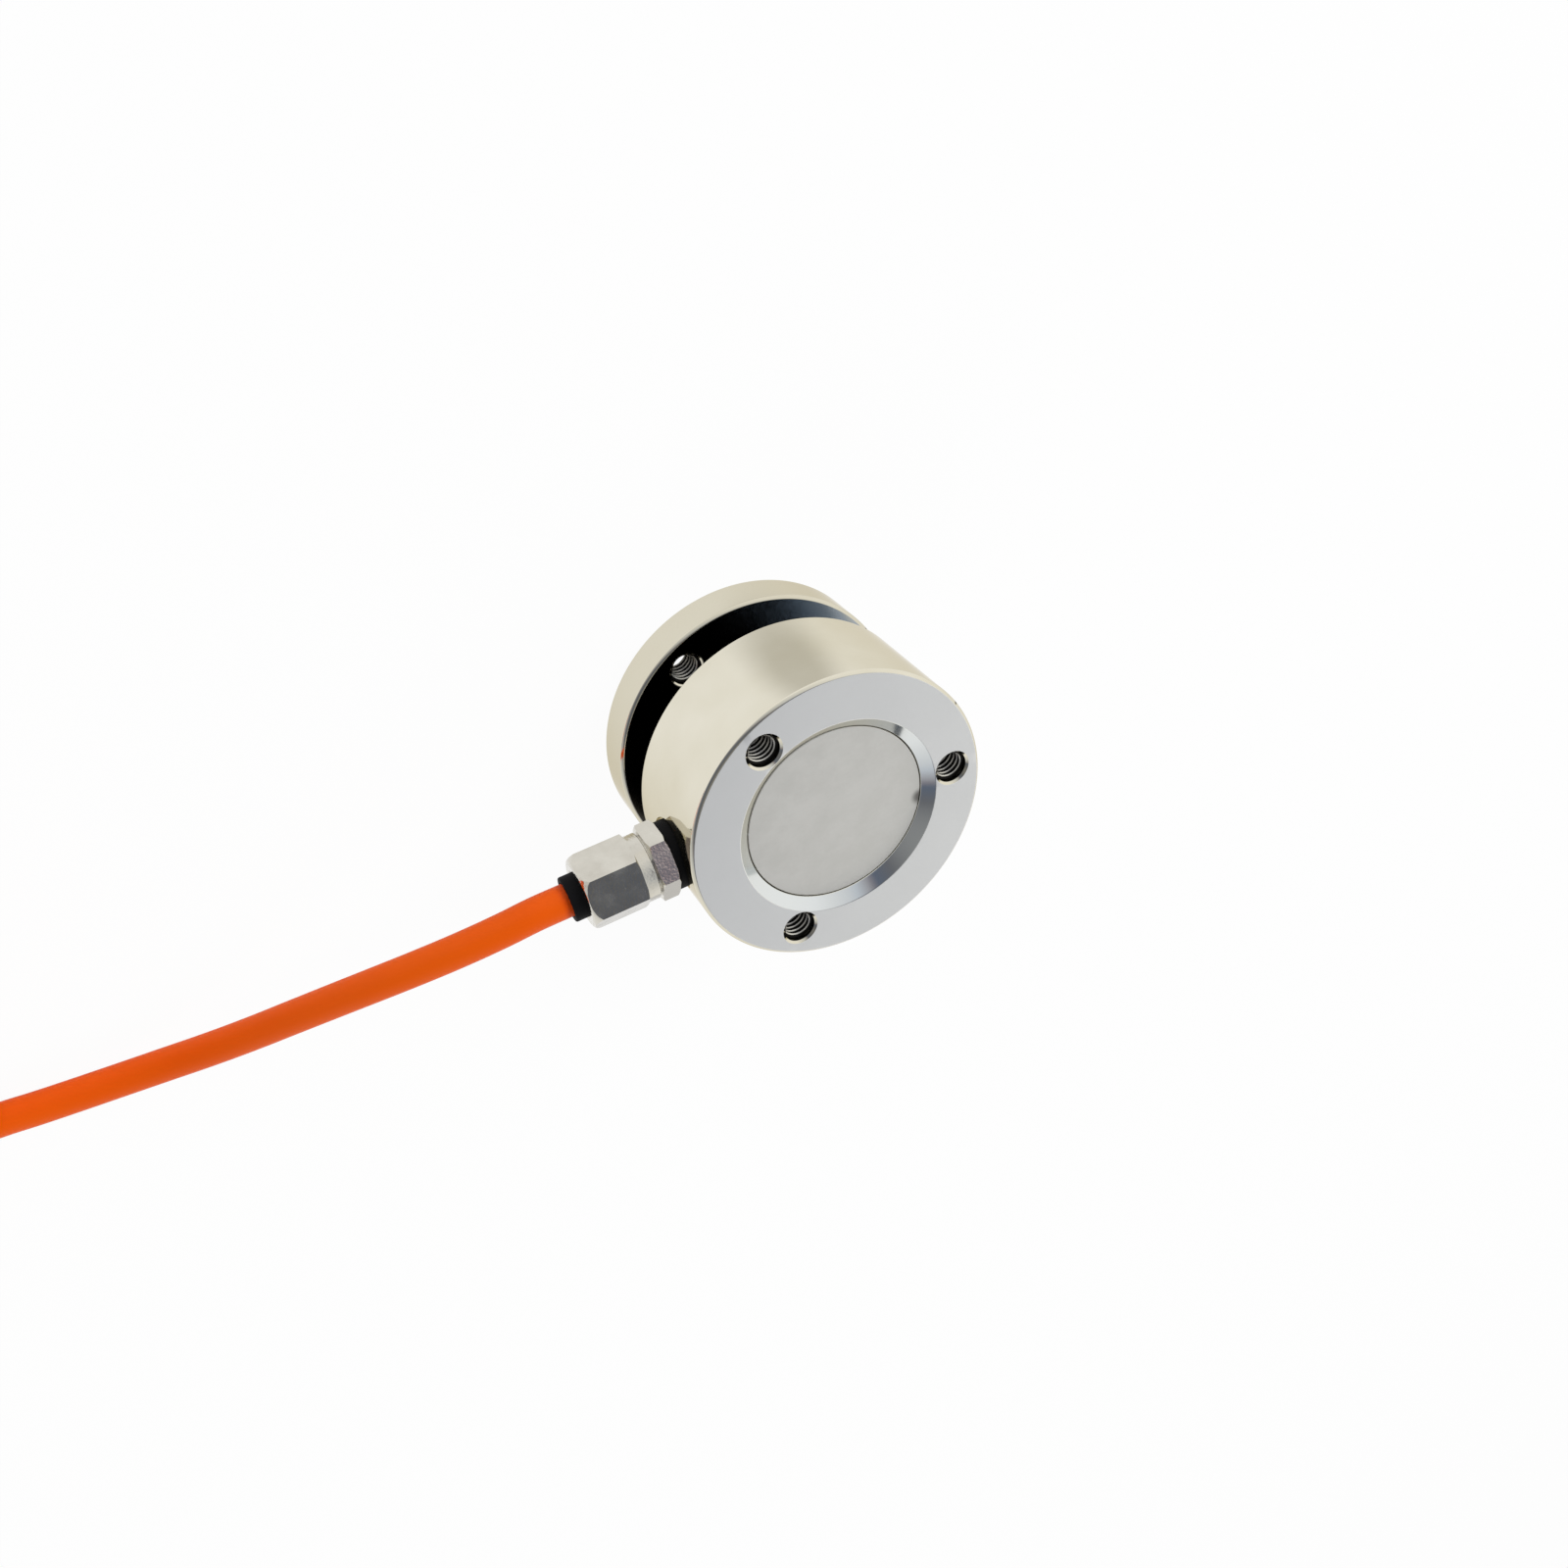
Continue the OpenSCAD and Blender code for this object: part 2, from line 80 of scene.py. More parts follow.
# %% [markdown]
# A material is a small program of nodes. Socket wraps one output of a node, so that sums and products
# of sockets read as plain arithmetic, and Shader.node adds any other node. Colours are mixed with
# Mix nodes, because a Math node would turn them grey.

# %% Shader expressions
class Socket:
    def __init__(self, shader, output):
        self.shader = shader
        self.output = output

    def math(self, operation, other=0.0, flip=False):
        first, second = (other, self) if flip else (self, other)
        return self.shader.node("Math", {"operation": operation}, {0: first, 1: second})

    def __add__(self, other):
        return self.math("ADD", other)

    __radd__ = __add__

    def __sub__(self, other):
        return self.math("SUBTRACT", other)

    def __rsub__(self, other):
        return self.math("SUBTRACT", other, flip=True)

    def __mul__(self, other):
        return self.math("MULTIPLY", other)

    __rmul__ = __mul__

    def above(self, edge, soft):
        """0 below edge, 1 above edge + soft, with a smooth ramp between."""
        settings = {"interpolation_type": "SMOOTHSTEP"}
        sockets = {"Value": self, "From Min": edge, "From Max": edge + soft}
        return self.shader.node("MapRange", settings, sockets)

    def below(self, edge, soft):
        return 1.0 - self.above(edge, soft)


class Shader:
    def __init__(self, name, tree=None):
        self.material = None
        if tree is None:
            self.material = bpy.data.materials.new(name)
            self.material.use_nodes = True
            tree = self.material.node_tree
        self.tree = tree
        tree.nodes.clear()

    def node(self, kind, settings=None, sockets=None, out=0):
        new = self.tree.nodes.new("ShaderNode" + kind)
        for key, value in (settings or {}).items():
            if key == "stops":
                ramp = new.color_ramp.elements
                while len(ramp) < len(value):
                    ramp.new(1.0)
                for stop, (place, colour) in zip(ramp, value):
                    stop.position = place
                    stop.color = (*colour, 1.0)
            else:
                setattr(new, key, value)
        for key, value in (sockets or {}).items():
            if isinstance(value, Socket):
                self.tree.links.new(value.output, new.inputs[key])
            else:
                new.inputs[key].default_value = value
        return Socket(self, new.outputs[out]) if new.outputs else None

    def mix(self, factor, low, high):
        sockets = {0: factor}
        for index, colour in ((6, low), (7, high)):
            sockets[index] = colour if isinstance(colour, Socket) else (*colour, 1.0)
        return self.node("Mix", {"data_type": "RGBA"}, sockets, out=2)

    def place(self):
        """The point's own coordinates on the object, as one vector and as x, y and z."""
        vector = self.node("TexCoord", out=3)
        split = [self.node("SeparateXYZ", None, {0: vector}, out=i) for i in range(3)]
        return vector, split

    def noise(self, vector, scale, detail=2.0, roughness=0.5):
        sockets = {"Vector": vector, "Scale": scale, "Detail": detail, "Roughness": roughness}
        return self.node("TexNoise", None, sockets)

    def surface(self, **sockets):
        """The Principled surface and the output; a name's underscores stand for spaces."""
        named = {key.replace("_", " "): value for key, value in sockets.items()}
        for key, value in named.items():
            if isinstance(value, tuple) and len(value) == 3:
                named[key] = (*value, 1.0)
        shade = self.node("BsdfPrincipled", None, named)
        self.node("OutputMaterial", None, {0: shade})
        return self.material

    def bump(self, height, strength, distance):
        sockets = {"Height": height, "Strength": strength, "Distance": distance}
        return self.node("Bump", None, sockets)


# %% [markdown]
# The studio is a pale floor under a bright, soft sky. Polished metal shows whatever is round it, so
# the sky is a light tent with a round, dark opening for the lens: what a mirror sees grows greyer and
# then dark as it turns to that opening. What looks at the floor directly, or in a mirror, sees white,
# except for a soft painted shadow on the floor that only mirrors see. Two weak lamps add soft light
# for the matt surfaces.

# %% Floor
FLOOR_SIZE = 4.0
FLOOR_SHARE = 0.95
SHADE_PLACE = (-8.0 * MM, -34.0 * MM)
SHADE_SIZE = 14.0 * MM

bpy.ops.mesh.primitive_plane_add(size=FLOOR_SIZE)
floor = bpy.context.object
floor.name = "studio_floor"
paint = Shader("studio_floor")
seen = paint.node("LightPath", out=0)
mirrored = paint.node("LightPath", out=3)
through = paint.node("LightPath", out=6)
shown = (seen + mirrored + through).math("MINIMUM", 1.0) * FLOOR_SHARE
spot_x, spot_y = [(axis - middle) * (1 / SHADE_SIZE) for axis, middle in
                  zip(paint.place()[1], SHADE_PLACE)]
# painted shadow: a soft grey patch on the floor that only mirrors see
shade = (spot_x * spot_x + spot_y * spot_y).math("SQRT").below(0.3, 0.9) * mirrored
tone = paint.mix(shade, (1.0, 1.0, 1.0), (0.66, 0.65, 0.62))
matt = paint.node("BsdfDiffuse", None, {"Color": (0.9, 0.9, 0.89, 1.0)})
white = paint.node("Emission", None, {"Color": tone, "Strength": 1.0})
blend = paint.node("MixShader", None, {0: shown, 1: matt, 2: white})
paint.node("OutputMaterial", None, {0: blend})
floor.data.materials.append(paint.material)

# %% Sky
sky = bpy.data.worlds.new("studio_sky")
bpy.context.scene.world = sky
sky.use_nodes = True
air = Shader("studio_sky", sky.node_tree)
direction = air.node("TexCoord", out=0)
OPENING = Vector((0.41, -0.02, 0.91)).normalized()
nearness = air.node("VectorMath", {"operation": "DOT_PRODUCT"}, {0: direction, 1: OPENING}, out=1)
stops = [(0.0, (1.0, 0.99, 0.96)), (0.25, (0.96, 0.955, 0.94)), (0.42, (0.84, 0.84, 0.83)),
         (0.56, (0.72, 0.73, 0.74)), (0.63, (0.60, 0.63, 0.67)), (0.71, (0.40, 0.39, 0.41)),
         (0.745, (0.24, 0.225, 0.25)), (0.775, (0.125, 0.15, 0.20)), (0.87, (0.16, 0.16, 0.17)),
         (1.0, (0.34, 0.34, 0.33))]
tent = air.node("ValToRGB", {"stops": stops}, {0: nearness})
glow = air.node("Background", None, {"Color": tent, "Strength": 1.0})
plain = air.node("Background", None, {"Color": (1.0, 1.0, 1.0, 1.0), "Strength": 1.0})
direct = air.node("LightPath", out=0)
air.node("OutputWorld", None, {0: air.node("MixShader", None, {0: direct, 1: glow, 2: plain})})

# %% Lamps
LAMPS = {
    "key_lamp": ((-0.45, -0.35, 0.60), 0.40, 2.6),
    "fill_lamp": ((0.50, 0.55, 0.55), 0.50, 1.4),
}
for name, (place, size, power) in LAMPS.items():
    bpy.ops.object.light_add(type="AREA", location=place)
    lamp = bpy.context.object
    lamp.name = name
    lamp.data.shape = "DISK"
    lamp.data.size = size
    lamp.data.energy = power
    lamp.visible_glossy = False
    lamp.rotation_mode = "QUATERNION"
    lamp.rotation_quaternion = (CAMERA_TARGET - Vector(place)).to_track_quat("-Z", "Y")
bpy.context.scene.view_settings.view_transform = "Standard"
print("lamps:", ", ".join(LAMPS))

# %% [markdown]
# The ring, the hub and the flange are one piece of nickel-plated steel. Their sides are polished
# like a mirror, and the front face is ground to a soft satin. The faces inside the gap are painted
# dark as shade, with painted light on one side. One material tells these places apart by height and
# by distance from the axis. It also paints shade into the holes and onto the flange's side, and sets
# one tiny nick on the front edge.

# %% Sizes of the spool
BODY_R = 19.0 * MM
FLANGE_T = 5.5 * MM
RING_Z = 11.7 * MM
TOP_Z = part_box("sensing_element")[1][2]
FLOOR_Z = 14.2 * MM
HUB_R = 8.0 * MM
CAVITY_R = 10.5 * MM
RECESS_R = 12.9 * MM
COVER_R = 11.4 * MM
COVER_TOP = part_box("cover_plate")[1][2]
COVER_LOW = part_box("cover_plate")[0][2]
EDGE = 0.35 * MM
PORT_Z = TOP_Z - 6.65 * MM
BOLT_CIRCLE_R = 15.25 * MM
BOLT_R = 2.0 * MM
BOLT_ANGLES = [math.radians(a) for a in (60, 180, 300)]
print("height of the cell in mm:", round(TOP_Z / MM, 2))


# %% Nickel on the spool
NICK = (-16.85 * MM, -8.7 * MM)


def flat_distance(x, y, place):
    """How far a point is from a place, seen along the load axis."""
    dx, dy = x - place[0], y - place[1]
    return (dx * dx + dy * dy).math("SQRT")


def bolt_distance(x, y):
    """How far a point is from the nearest bolt's axis."""
    nearest = None
    for angle in BOLT_ANGLES:
        place = (BOLT_CIRCLE_R * math.cos(angle), BOLT_CIRCLE_R * math.sin(angle))
        far = flat_distance(x, y, place)
        nearest = far if nearest is None else nearest.math("MINIMUM", far)
    return nearest


def spool_nickel():
    shader = Shader("polished_nickel")
    vector, (x, y, z) = shader.place()
    radius = (x * x + y * y).math("SQRT")
    upright = shader.node("SeparateXYZ", None, {0: shader.node("NewGeometry", out=1)}, out=2)
    face = upright.above(0.9, 0.08) * z.above(TOP_Z - 0.3 * MM, 0.1 * MM)
    in_gap = z.above(FLANGE_T - 0.12 * MM, 0.06 * MM) * z.below(RING_Z + 0.06 * MM, 0.06 * MM)
    in_gap = in_gap * radius.below(BODY_R - 0.45 * MM, 0.05 * MM)
    cloud = shader.noise(vector, 120.0, 3.0)
    fine = shader.noise(vector, 2600.0, 2.0)
    side_tint = shader.mix(cloud, (0.69, 0.65, 0.52), (0.83, 0.80, 0.70))
    # painted shade: the flange's side, down by the floor, is tinted darker
    side_tint = shader.mix(z.below(FLANGE_T, MM) * 0.6, side_tint, (0.65, 0.61, 0.49))
    face_tint = shader.mix(cloud, (0.80, 0.805, 0.80), (0.86, 0.865, 0.86))
    cone = radius.below(RECESS_R - 0.05 * MM, 0.1 * MM) * z.above(COVER_TOP - 0.1 * MM, 0.2 * MM)
    tint = shader.mix(face, side_tint, face_tint)
    tint = shader.mix(cone * (1.0 - face), tint, (0.74, 0.77, 0.78))
    # painted shade on the faces inside the gap, and painted light on their side towards -x and -y
    gap_painted_light = (y * -0.6 - x * 0.8).above(6.0 * MM, 7.0 * MM)
    gap_painted_shade_and_light = shader.mix(gap_painted_light, (0.06, 0.056, 0.05), (0.50, 0.54, 0.58))
    tint = shader.mix(in_gap, tint, gap_painted_shade_and_light)
    in_hole = bolt_distance(x, y).below(BOLT_R + 0.02 * MM, 0.02 * MM) * (1.0 - face)
    # painted shade: the insides of the bolt holes are tinted near-black
    tint = shader.mix(in_hole, tint, (0.04, 0.039, 0.036))
    nick = flat_distance(x, y, NICK).below(0.12 * MM, 0.2 * MM)
    tint = shader.mix(nick * 0.85, tint, (0.05, 0.04, 0.03))
    gloss = 0.07 + cloud * 0.04
    satin = 0.34 + fine * 0.1
    roughness = gloss * (1.0 - face) + satin * face + in_gap * 0.06
    grain = shader.bump(fine * face + cloud * 0.1, 0.08, 0.02 * MM)
    return shader.surface(Base_Color=tint, Metallic=1.0, Roughness=roughness, Normal=grain,
                          Specular_Tint=(0.78, 0.74, 0.64))


NICKEL = spool_nickel()

# %% [markdown]
# Nearly every hard piece here was made on a lathe. To turn one, half of its outline is traced by
# extruding a single point from corner to corner, the corners get a small round, and the line is
# spun about the Z axis. The ends lie on the axis, so the skin is closed once doubles are merged.

# %% Turning and cutting helpers
def deselect():
    bpy.ops.object.select_all(action="DESELECT")


def turned(outline, steps=192, corner=0.0, turn=2 * math.pi):
    """A solid spun about Z from a list of (radius, height) corners."""
    deselect()
    bpy.ops.mesh.primitive_plane_add(size=MM)
    piece = bpy.context.object
    bpy.ops.object.mode_set(mode="EDIT")
    bpy.ops.mesh.merge(type="CENTER")
    bpy.ops.transform.translate(value=(outline[0][0], 0, outline[0][1]))
    for (r0, z0), (r1, z1) in zip(outline, outline[1:]):
        bpy.ops.mesh.extrude_region_move(TRANSFORM_OT_translate={"value": (r1 - r0, 0, z1 - z0)})
    if corner:
        bpy.ops.object.mode_set(mode="OBJECT")
        for vertex in piece.data.vertices:
            vertex.select = vertex.co.x > corner
        bpy.ops.object.mode_set(mode="EDIT")
        bpy.ops.mesh.bevel(offset=corner, segments=3, affect="VERTICES")
    bpy.ops.mesh.select_all(action="SELECT")
    bpy.ops.mesh.spin(steps=steps, angle=turn, center=(0, 0, 0), axis=(0, 0, 1))
    bpy.ops.mesh.select_all(action="SELECT")
    bpy.ops.mesh.remove_doubles(threshold=0.0001 * MM)
    bpy.ops.mesh.normals_make_consistent(inside=False)
    bpy.ops.object.mode_set(mode="OBJECT")
    return piece


def move(piece, place=(0, 0, 0), turn=(0, 0, 0)):
    """Moves and turns a piece, and writes its place into its mesh."""
    deselect()
    piece.select_set(True)
    bpy.context.view_layer.objects.active = piece
    piece.location = place
    piece.rotation_euler = turn
    bpy.ops.object.transform_apply(location=True, rotation=True, scale=True)
    return piece


def combine(piece, tool, operation="DIFFERENCE"):
    """Cuts a tool out of a piece, or joins or intersects the two, and throws the tool away."""
    deselect()
    piece.select_set(True)
    bpy.context.view_layer.objects.active = piece
    bpy.ops.object.modifier_add(type="BOOLEAN")
    boolean = piece.modifiers[-1]
    boolean.operation = operation
    boolean.solver = "EXACT"
    boolean.object = tool
    bpy.ops.object.modifier_apply(modifier=boolean.name)
    bpy.data.objects.remove(tool)
    return piece


def soften(piece, width, angle=30.0, segments=2):
    """Rounds the sharp edges of a piece by a small width."""
    deselect()
    piece.select_set(True)
    bpy.context.view_layer.objects.active = piece
    bpy.ops.object.modifier_add(type="BEVEL")
    bevel = piece.modifiers[-1]
    bevel.width = width
    bevel.segments = segments
    bevel.limit_method = "ANGLE"
    bevel.angle_limit = math.radians(angle)
    bevel.harden_normals = False
    bpy.ops.object.modifier_apply(modifier=bevel.name)
    return piece


def keep(piece, name, slot, material, nodes=(), smooth=32.0):
    """Names a finished piece, dresses it, and ties it to the frame."""
    piece.name = name
    piece.data.name = name
    piece.data.materials.clear()
    piece.data.materials.append(material)
    deselect()
    piece.select_set(True)
    bpy.context.view_layer.objects.active = piece
    if piece.type == "MESH":
        bpy.ops.object.shade_smooth_by_angle(angle=math.radians(smooth))
        bpy.ops.object.modifier_add(type="WEIGHTED_NORMAL")
        weighted = piece.modifiers[-1]
        weighted.keep_sharp = True
        bpy.ops.object.modifier_apply(modifier=weighted.name)
    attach(piece, "root")
    if nodes:
        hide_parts(*nodes)
    return piece


# %% [markdown]
# The spool: a thin flange, a narrow hub and a thick ring with a shallow cone that leads down to the
# cover. The holes are cut with turned tools that have the countersink on them, and a milled flat
# gives the gland a square seat on the round side.

# %% Spool
BOLT_DEPTH = 10.0 * MM
COUNTERSINK = 0.3 * MM
SEAT_X = 18.4 * MM
SEAT_R = 4.5 * MM
PORT_R = 3.0 * MM
POCKET_R = COVER_R + 0.1 * MM
LEDGE_Z = COVER_LOW - 0.15 * MM
BOSS_R = 3.5 * MM
BOSS_TOP = FLOOR_Z + 2.0 * MM

spool = turned([
    (0, 0), (BODY_R - EDGE, 0), (BODY_R, EDGE), (BODY_R, FLANGE_T - EDGE), (BODY_R - EDGE, FLANGE_T),
    (HUB_R, FLANGE_T), (HUB_R, RING_Z), (BODY_R - EDGE, RING_Z), (BODY_R, RING_Z + EDGE),
    (BODY_R, TOP_Z - EDGE), (BODY_R - EDGE, TOP_Z), (RECESS_R, TOP_Z), (POCKET_R, COVER_TOP),
    (POCKET_R, LEDGE_Z), (CAVITY_R, LEDGE_Z), (CAVITY_R, FLOOR_Z), (BOSS_R, FLOOR_Z),
    (BOSS_R, BOSS_TOP), (0, BOSS_TOP),
], steps=256, corner=0.08 * MM)


def bolt_cutter(angle, low, high, through):
    """A drill from low to high with a countersink at the top, and at the bottom if it goes through."""
    past = 0.02 * MM
    wide = BOLT_R + COUNTERSINK + past
    foot = [(0, low - past), (wide, low - past), (BOLT_R, low + COUNTERSINK)]
    if not through:
        foot = [(0, low), (BOLT_R, low)]
    outline = foot + [(BOLT_R, high - COUNTERSINK), (wide, high + past), (0, high + past)]
    place = (BOLT_CIRCLE_R * math.cos(angle), BOLT_CIRCLE_R * math.sin(angle), 0)
    return move(turned(outline, steps=64), place)


for bolt_angle in BOLT_ANGLES:
    combine(spool, bolt_cutter(bolt_angle, TOP_Z - BOLT_DEPTH, TOP_Z, through=False))
    combine(spool, bolt_cutter(bolt_angle, 0, FLANGE_T, through=True))
for radius, low, high in ((PORT_R, 6.0 * MM, 22.0 * MM), (SEAT_R, SEAT_X, 22.0 * MM)):
    drill = turned([(0, low), (radius, low), (radius, high), (0, high)], steps=96)
    combine(spool, move(drill, (0, 0, PORT_Z), (0, math.pi / 2, 0)))
keep(spool, "spool", "nickel_plate", NICKEL, ["sensing_element"], smooth=22.0)
print("spool faces:", len(spool.data.polygons))

# %% [markdown]
# A thread is one V-shaped ridge that climbs a helix. The Screw modifier turns a small triangle about
# the Z axis and lifts it by one pitch for each turn. The modelled ridge, with its crests in a lifted
# tint as painted highlight and its grooves near-black as painted shade, gives the bright and dark
# lines that the photograph shows in every hole.

# %% Bolt threads
THREAD_PITCH = 0.7 * MM
THREAD_CREST_R = 1.62 * MM


def thread_nickel():
    """Crests in a lifted tint as painted highlight, grooves near-black as painted shade."""
    shader = Shader("thread_nickel")
    vector, (x, y, z) = shader.place()
    crest = bolt_distance(x, y).below(1.70 * MM, 0.08 * MM)
    cloud = shader.noise(vector, 900.0, 2.0)
    bright = shader.mix(cloud, (0.86, 0.83, 0.74), (0.95, 0.93, 0.86))
    # painted shade: the grooves are near-black; the crests get a lifted tint as painted highlight
    tint = shader.mix(crest, (0.014, 0.013, 0.012), bright)
    return shader.surface(Base_Color=tint, Metallic=1.0, Roughness=0.34 + cloud * 0.1)


THREAD_NICKEL = thread_nickel()


def thread(length, place):
    """A helical ridge inside a hole, from the place down by the length."""
    deselect()
    bpy.ops.mesh.primitive_circle_add(vertices=3, radius=THREAD_PITCH / 2, fill_type="NOTHING")
    ridge = bpy.context.object
    half = THREAD_PITCH * 0.44
    corners = ((BOLT_R + 0.01 * MM, half), (THREAD_CREST_R, 0.0), (BOLT_R + 0.01 * MM, -half))
    for vertex, (r, z) in zip(ridge.data.vertices, corners):
        vertex.co = (r, 0, z)
    bpy.ops.object.modifier_add(type="SCREW")
    screw = ridge.modifiers[-1]
    screw.screw_offset = THREAD_PITCH
    screw.iterations = round(length / THREAD_PITCH)
    screw.steps = 40
    screw.render_steps = 40
    bpy.ops.object.modifier_apply(modifier=screw.name)
    bpy.ops.object.mode_set(mode="EDIT")
    bpy.ops.mesh.select_all(action="SELECT")
    bpy.ops.mesh.fill_holes(sides=3)
    bpy.ops.mesh.select_all(action="SELECT")
    bpy.ops.mesh.normals_make_consistent(inside=False)
    bpy.ops.object.mode_set(mode="OBJECT")
    return move(ridge, (place[0], place[1], place[2] - length))


for number, bolt_angle in enumerate(BOLT_ANGLES, start=1):
    px = BOLT_CIRCLE_R * math.cos(bolt_angle)
    py = BOLT_CIRCLE_R * math.sin(bolt_angle)
    ring_thread = thread(8.4 * MM, (px, py, TOP_Z - 0.65 * MM))
    keep(ring_thread, f"ring_thread_{number}", "nickel_plate", THREAD_NICKEL)
    flange_thread = thread(4.2 * MM, (px, py, FLANGE_T - 0.65 * MM))
    keep(flange_thread, f"flange_thread_{number}", "nickel_plate", THREAD_NICKEL)

# %% [markdown]
# The gland is a row of turned and milled parts on one axis, so each is turned about Z first and then
# laid over onto +X. The frame gives the stations along that axis.

# %% Stations of the gland
GASKET_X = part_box("gland_gasket")[0][0]
BASE_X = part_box("gland_gasket")[1][0]
BASE_END_X = BASE_X + 2.2 * MM
NUT_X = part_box("gland_nut")[0][0]
NUT_HEX_X = NUT_X + 1.5 * MM
NUT_END_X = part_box("gland_nut")[1][0]
SEAL_END_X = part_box("gland_seal")[1][0]
HEX_R = 8.3 * MM / math.sqrt(3)
THREAD_R = 3.5 * MM
CABLE_R = 2.0 * MM
SEAL_R = 2.75 * MM


def lay_on_gland(piece, x):
    return move(piece, (x, 0, PORT_Z), (0, math.pi / 2, 0))


def hexagon(length, first_corner, lathe_cut):
    """A hexagonal prism along Z whose corners are turned away by a lathe outline."""
    deselect()
    bpy.ops.mesh.primitive_cylinder_add(vertices=6, radius=HEX_R, depth=length)
    prism = bpy.context.object
    # Blender's six-sided cylinder has its first corner on +Y
    move(prism, (0, 0, length / 2), (0, 0, math.radians(first_corner - 90)))
    return combine(prism, turned(lathe_cut, steps=192), "INTERSECT")


# %% [markdown]
# Bright nickel on small hardware isn't as even as on the ground ring. It has a faint orange peel and
# a slightly duller bloom in patches, so the flats mottle what they mirror. The body's flats that face
# up get a painted pink-copper reflection, and the flats on the shaded side are painted darker.

# %% Nickel on the gland
def gland_nickel():
    shader = Shader("gland_nickel")
    vector, (x, y, z) = shader.place()
    facing = shader.node("NewGeometry", out=1)
    _, side, up = [shader.node("SeparateXYZ", None, {0: facing}, out=i) for i in range(3)]
    patch = shader.noise(vector, 420.0, 4.0, 0.6)
    peel = shader.noise(vector, 3300.0, 2.0)
    tint = shader.mix(patch, (0.52, 0.49, 0.43), (0.75, 0.73, 0.66))
    # painted reflection: the body's flats that face up and towards -y get a pink-copper tint
    up_flats_painted_reflection = x.below(BASE_END_X, 0.1 * MM) * up.above(0.8, 0.05) * side.below(-0.3, 0.1)
    tint = shader.mix(up_flats_painted_reflection, tint, shader.mix(patch, (0.94, 0.72, 0.65), (1.0, 0.93, 0.85)))
    # painted shade: the flats that face +y are tinted darker
    tint = shader.mix(side.above(0.35, 0.1), tint, (0.43, 0.41, 0.37))
    roughness = 0.10 + patch.above(0.42, 0.3) * 0.12
    wavy = shader.bump(patch * 0.4 + peel * 0.6, 0.6, 0.07 * MM)
    return shader.surface(Base_Color=tint, Metallic=1.0, Roughness=roughness, Normal=wavy)


GLAND_NICKEL = gland_nickel()

# %% Gland body
HEX_CUT = 0.45 * MM
base_len = BASE_END_X - BASE_X
body_hex = hexagon(base_len, 0, [
    (0, -MM), (HEX_R - HEX_CUT - 2 * MM, -MM), (HEX_R - HEX_CUT, 0), (HEX_R + HEX_CUT, HEX_CUT),
    (HEX_R + HEX_CUT, base_len - HEX_CUT), (HEX_R - HEX_CUT, base_len), (0, base_len + MM),
])
lay_on_gland(body_hex, BASE_X)
THREAD_END_X = NUT_END_X - 2.3 * MM
SEAL_IN_X = THREAD_END_X - 4.0 * MM
SHANK_X = 11.5 * MM
BORE_R = CABLE_R + 0.1 * MM
shank = turned([
    (0, SHANK_X), (2.95 * MM, SHANK_X), (2.95 * MM, BASE_X + MM), (THREAD_R, BASE_X + MM),
    (THREAD_R, THREAD_END_X), (0, THREAD_END_X),
], steps=96)
bore = turned([
    (0, SHANK_X - MM), (BORE_R, SHANK_X - MM), (BORE_R, SEAL_IN_X), (SEAL_R + 0.05 * MM, SEAL_IN_X),
    (SEAL_R + 0.05 * MM, THREAD_END_X + MM), (0, THREAD_END_X + MM),
], steps=96)
combine(body_hex, lay_on_gland(shank, 0), "UNION")
combine(body_hex, lay_on_gland(bore, 0))
soften(body_hex, 0.06 * MM, 20)
keep(body_hex, "gland_body_piece", "gland_nickel", GLAND_NICKEL, ["gland_body"])

# %% [markdown]
# The cap nut is a hexagon with a round collar towards the body and a rounded nose towards the cable.
# A prism made round by a lathe outline gets the curved chamfer lines that real nuts have.

# %% Gland nut
nut_len = NUT_END_X - NUT_HEX_X
COLLAR_R = 4.1 * MM
nut = hexagon(nut_len, 48.5, [
    (0, -MM), (HEX_R - HEX_CUT - 2 * MM, -MM), (HEX_R - HEX_CUT, 0), (HEX_R + HEX_CUT, HEX_CUT),
    (HEX_R + HEX_CUT, nut_len - 1.30 * MM), (HEX_R - 0.02 * MM, nut_len - 0.92 * MM),
    (HEX_R - 0.30 * MM, nut_len - 0.50 * MM), (HEX_R - 0.65 * MM, nut_len - 0.16 * MM),
    (HEX_R - 1.05 * MM, nut_len), (0, nut_len + 0.5 * MM),
])
collar = turned([(0, -1.5 * MM), (COLLAR_R, -1.5 * MM), (COLLAR_R, 0.3 * MM), (0, 0.3 * MM)],
                steps=128, corner=0.14 * MM)
combine(nut, collar, "UNION")
nut_bore = turned([
    (0, -2 * MM), (THREAD_R + 0.05 * MM, -2 * MM), (THREAD_R + 0.05 * MM, nut_len - 1.8 * MM),
    (SEAL_R + 0.05 * MM, nut_len - 1.8 * MM), (SEAL_R + 0.05 * MM, nut_len - 0.15 * MM),
    (SEAL_R + 0.35 * MM, nut_len + 0.15 * MM), (0, nut_len + 0.15 * MM),
], steps=128)
combine(nut, nut_bore)
soften(nut, 0.09 * MM, 20)
lay_on_gland(nut, NUT_HEX_X)
keep(nut, "gland_nut_piece", "gland_nickel", GLAND_NICKEL, ["gland_nut"])
print("nut faces:", len(nut.data.polygons))


# %% [markdown]
# The gasket behind the hexagon and the seal in the nut are black rubber. Rubber is matt, with a fine
# grain and small grey patches where it has been handled.

